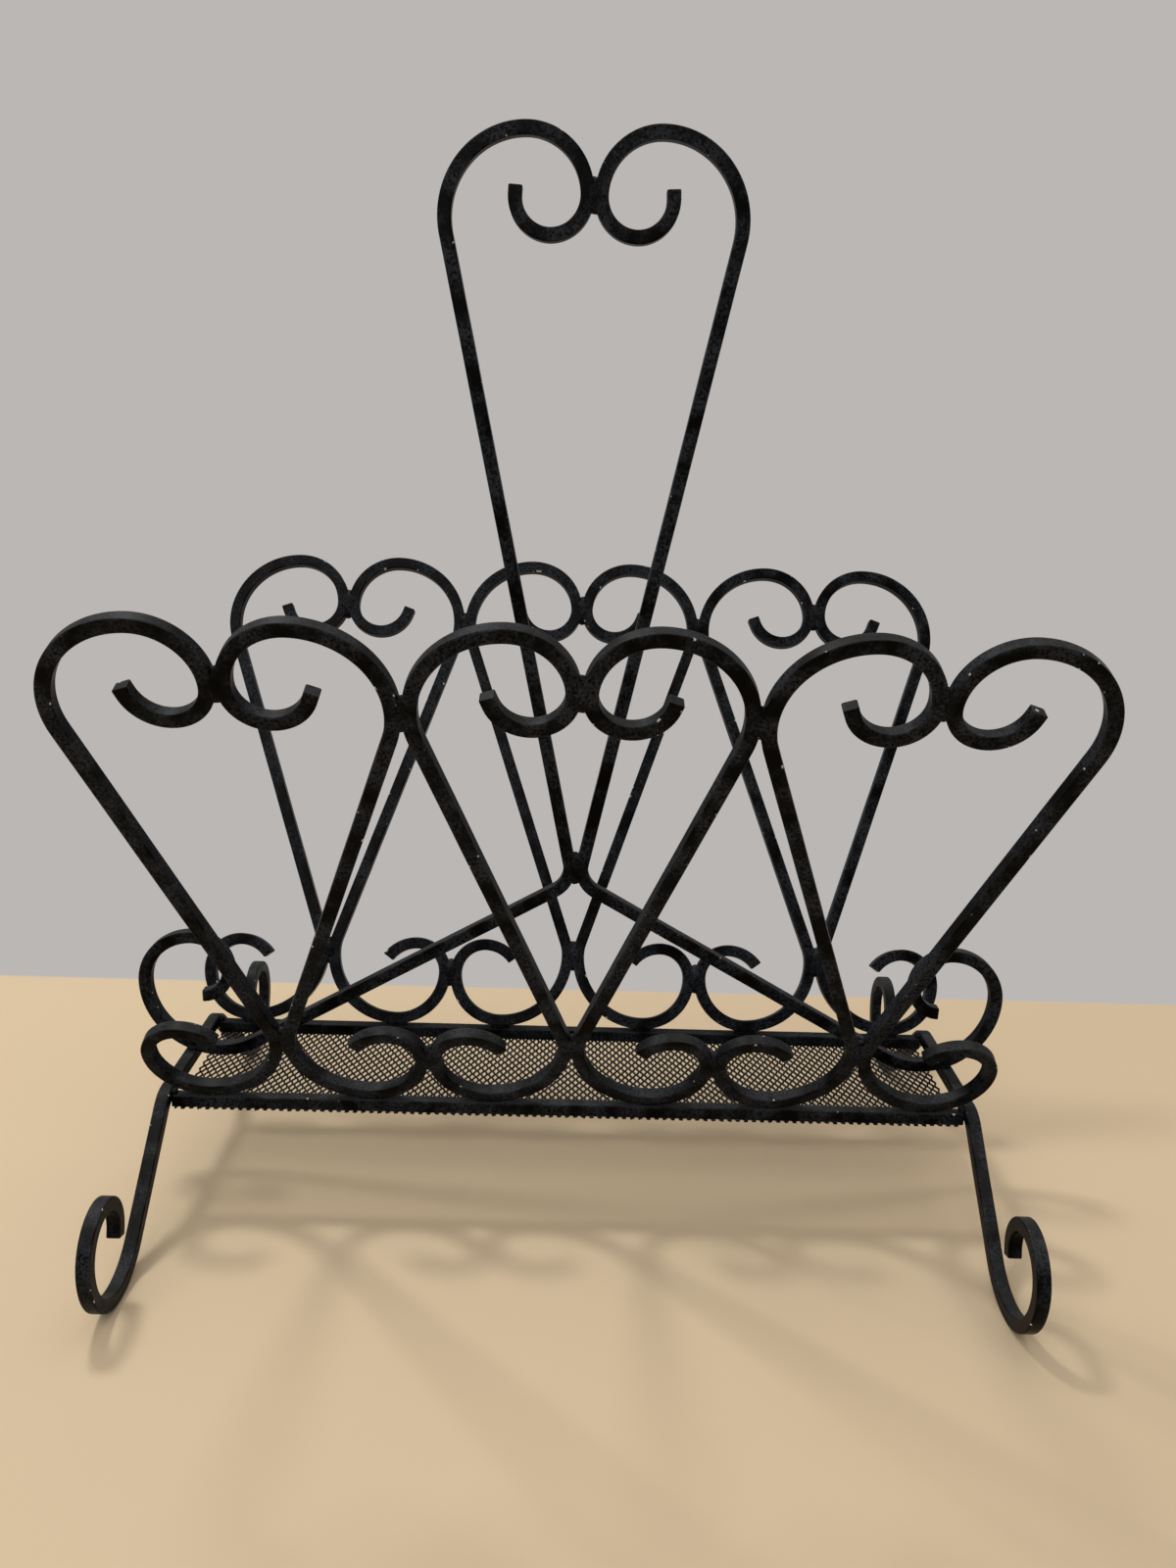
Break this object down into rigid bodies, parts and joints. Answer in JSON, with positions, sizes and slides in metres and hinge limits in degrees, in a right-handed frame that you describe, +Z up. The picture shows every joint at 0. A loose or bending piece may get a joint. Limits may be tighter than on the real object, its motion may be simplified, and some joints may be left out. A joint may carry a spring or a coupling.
{
  "type": "newspaper rack",
  "caption": "Wrought-iron newspaper rack: leaning heart-scroll side panels on a mesh floor, scroll feet, and a tall heart-topped handle dividing two pockets.",
  "frame": {"origin": "on the ground under the middle of the rack", "axes": "+X along the rack, -Y is the front, +Z up"},
  "size_m": [0.489, 0.3318, 0.5552],
  "materials": {
    "black_iron": "black satin paint on square iron bar",
    "floor_mesh": "black satin paint on expanded metal",
    "weld_beads": "black satin paint over rough weld beads"
  },
  "bodies": {
    "root": {"front_heart_1_left_bar": "black_iron", "front_heart_1_right_bar": "black_iron", "front_heart_2_left_bar": "black_iron", "front_heart_2_right_bar": "black_iron", "front_heart_3_left_bar": "black_iron", "front_heart_3_right_bar": "black_iron", "rear_heart_1_left_bar": "black_iron", "rear_heart_1_right_bar": "black_iron", "rear_heart_2_left_bar": "black_iron", "rear_heart_2_right_bar": "black_iron", "rear_heart_3_left_bar": "black_iron", "rear_heart_3_right_bar": "black_iron", "handle_left_bar": "black_iron", "handle_right_bar": "black_iron", "left_leg_hoop": "black_iron", "right_leg_hoop": "black_iron", "front_rail": "black_iron", "rear_rail": "black_iron", "mesh_floor": "floor_mesh", "front_heart_welds": "weld_beads", "rear_heart_welds": "weld_beads", "front_rail_welds": "weld_beads", "rear_rail_welds": "weld_beads", "handle_welds": "weld_beads", "hoop_welds": "weld_beads"}
  },
  "joints": []
}
